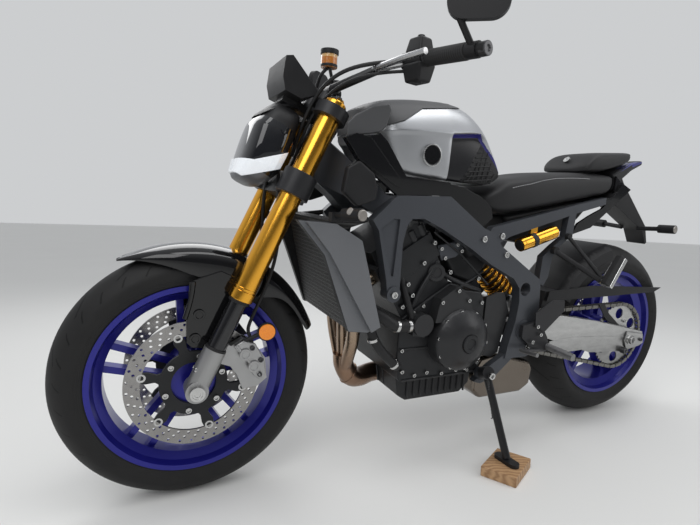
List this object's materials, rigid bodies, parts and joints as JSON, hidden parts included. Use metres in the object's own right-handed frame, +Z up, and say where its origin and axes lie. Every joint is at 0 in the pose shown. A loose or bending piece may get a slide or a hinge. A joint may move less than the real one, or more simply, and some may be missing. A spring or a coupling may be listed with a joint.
{
  "type": "standard motorcycle",
  "caption": "Naked sport motorcycle leaning on its side stand, with turning wheels, steering front end on an upside-down fork and a stand that folds.",
  "frame": {"origin": "middle of the bounding box's base, on the ground", "axes": "+X forward along the machine, +Y to the rider's left, +Z up; the machine leans 4 degrees to its left"},
  "size_m": [2.0449, 0.8878, 1.175],
  "materials": {
    "frame_grey": "satin paint",
    "engine_dark": "satin",
    "exhaust_steel": "heat tinted",
    "matte_black": "matte",
    "shroud_grey": "metallic paint",
    "tank_silver": "metallic paint",
    "gloss_black": "gloss",
    "seat_cover": "grained",
    "red_lens": "gloss",
    "swingarm_silver": "brushed",
    "bright_steel": "machined",
    "gold_anodised": "anodised",
    "wood": "sawn",
    "rubber": "matte",
    "amber": "gloss",
    "clear_lens": "gloss",
    "deep_blue": "metallic paint",
    "tyre_rubber": "matte"
  },
  "bodies": {
    "chassis": {"main_frame": "frame_grey", "subframe": "frame_grey", "crankcase": "engine_dark", "cylinders": "engine_dark", "engine_covers": "engine_dark", "exhaust_pipes": "exhaust_steel", "silencer": "exhaust_steel", "radiator": "matte_black", "radiator_shrouds": "shroud_grey", "fuel_tank": "tank_silver", "tank_side_panels": "gloss_black", "tank_nose": "shroud_grey", "rider_seat": "seat_cover", "passenger_seat": "seat_cover", "tail_cowl": "gloss_black", "tail_lamp": "red_lens", "plate_carrier": "matte_black", "swingarm": "swingarm_silver", "rear_axle": "bright_steel", "rear_hugger": "matte_black", "drive_chain": "bright_steel", "rear_caliper": "matte_black", "rear_shock": "gold_anodised", "rider_pegs": "frame_grey", "passenger_pegs": "matte_black", "front_indicators": "matte_black", "side_ducts": "gloss_black", "stand_block": "wood"},
    "front_end": {"upper_clamp": "frame_grey", "lower_clamp": "frame_grey", "fork_tubes": "gold_anodised", "fork_sliders": "gloss_black", "fork_feet": "frame_grey", "front_axle": "bright_steel", "front_mudguard": "gloss_black", "front_calipers": "matte_black", "handlebar": "matte_black", "grips": "rubber", "bar_controls": "matte_black", "brake_reservoir": "amber", "mirrors": "matte_black", "headlight": "shroud_grey", "headlamp_lens": "clear_lens", "dash": "matte_black"},
    "front_wheel": {"front_rim": "deep_blue", "front_tyre": "tyre_rubber", "front_discs": "bright_steel"},
    "rear_wheel": {"rear_rim": "deep_blue", "rear_tyre": "tyre_rubber", "rear_sprocket": "bright_steel", "rear_disc": "bright_steel"},
    "side_stand": {"side_stand": "matte_black"}
  },
  "joints": [
    {"name": "steering", "type": "hinge", "parent": "chassis", "child": "front_end", "pos_m": [0.45442, -0.02081, 0.8159], "axis": [-0.4179, 0.0634, 0.9063], "range_deg": [-30, 30]},
    {"name": "front_wheel_spin", "type": "hinge", "parent": "front_end", "child": "front_wheel", "pos_m": [0.7225, -0.05692, 0.2995], "axis": [0, 0.9976, -0.0698], "continuous": true},
    {"name": "rear_wheel_spin", "type": "hinge", "parent": "chassis", "child": "rear_wheel", "pos_m": [-0.7075, -0.05587, 0.31446], "axis": [0, 0.9976, -0.0698], "continuous": true},
    {"name": "side_stand_fold", "type": "hinge", "parent": "chassis", "child": "side_stand", "pos_m": [-0.0625, 0.11271, 0.25957], "axis": [0.1114, 0.9445, 0.3092], "range_deg": [0, 86]}
  ]
}
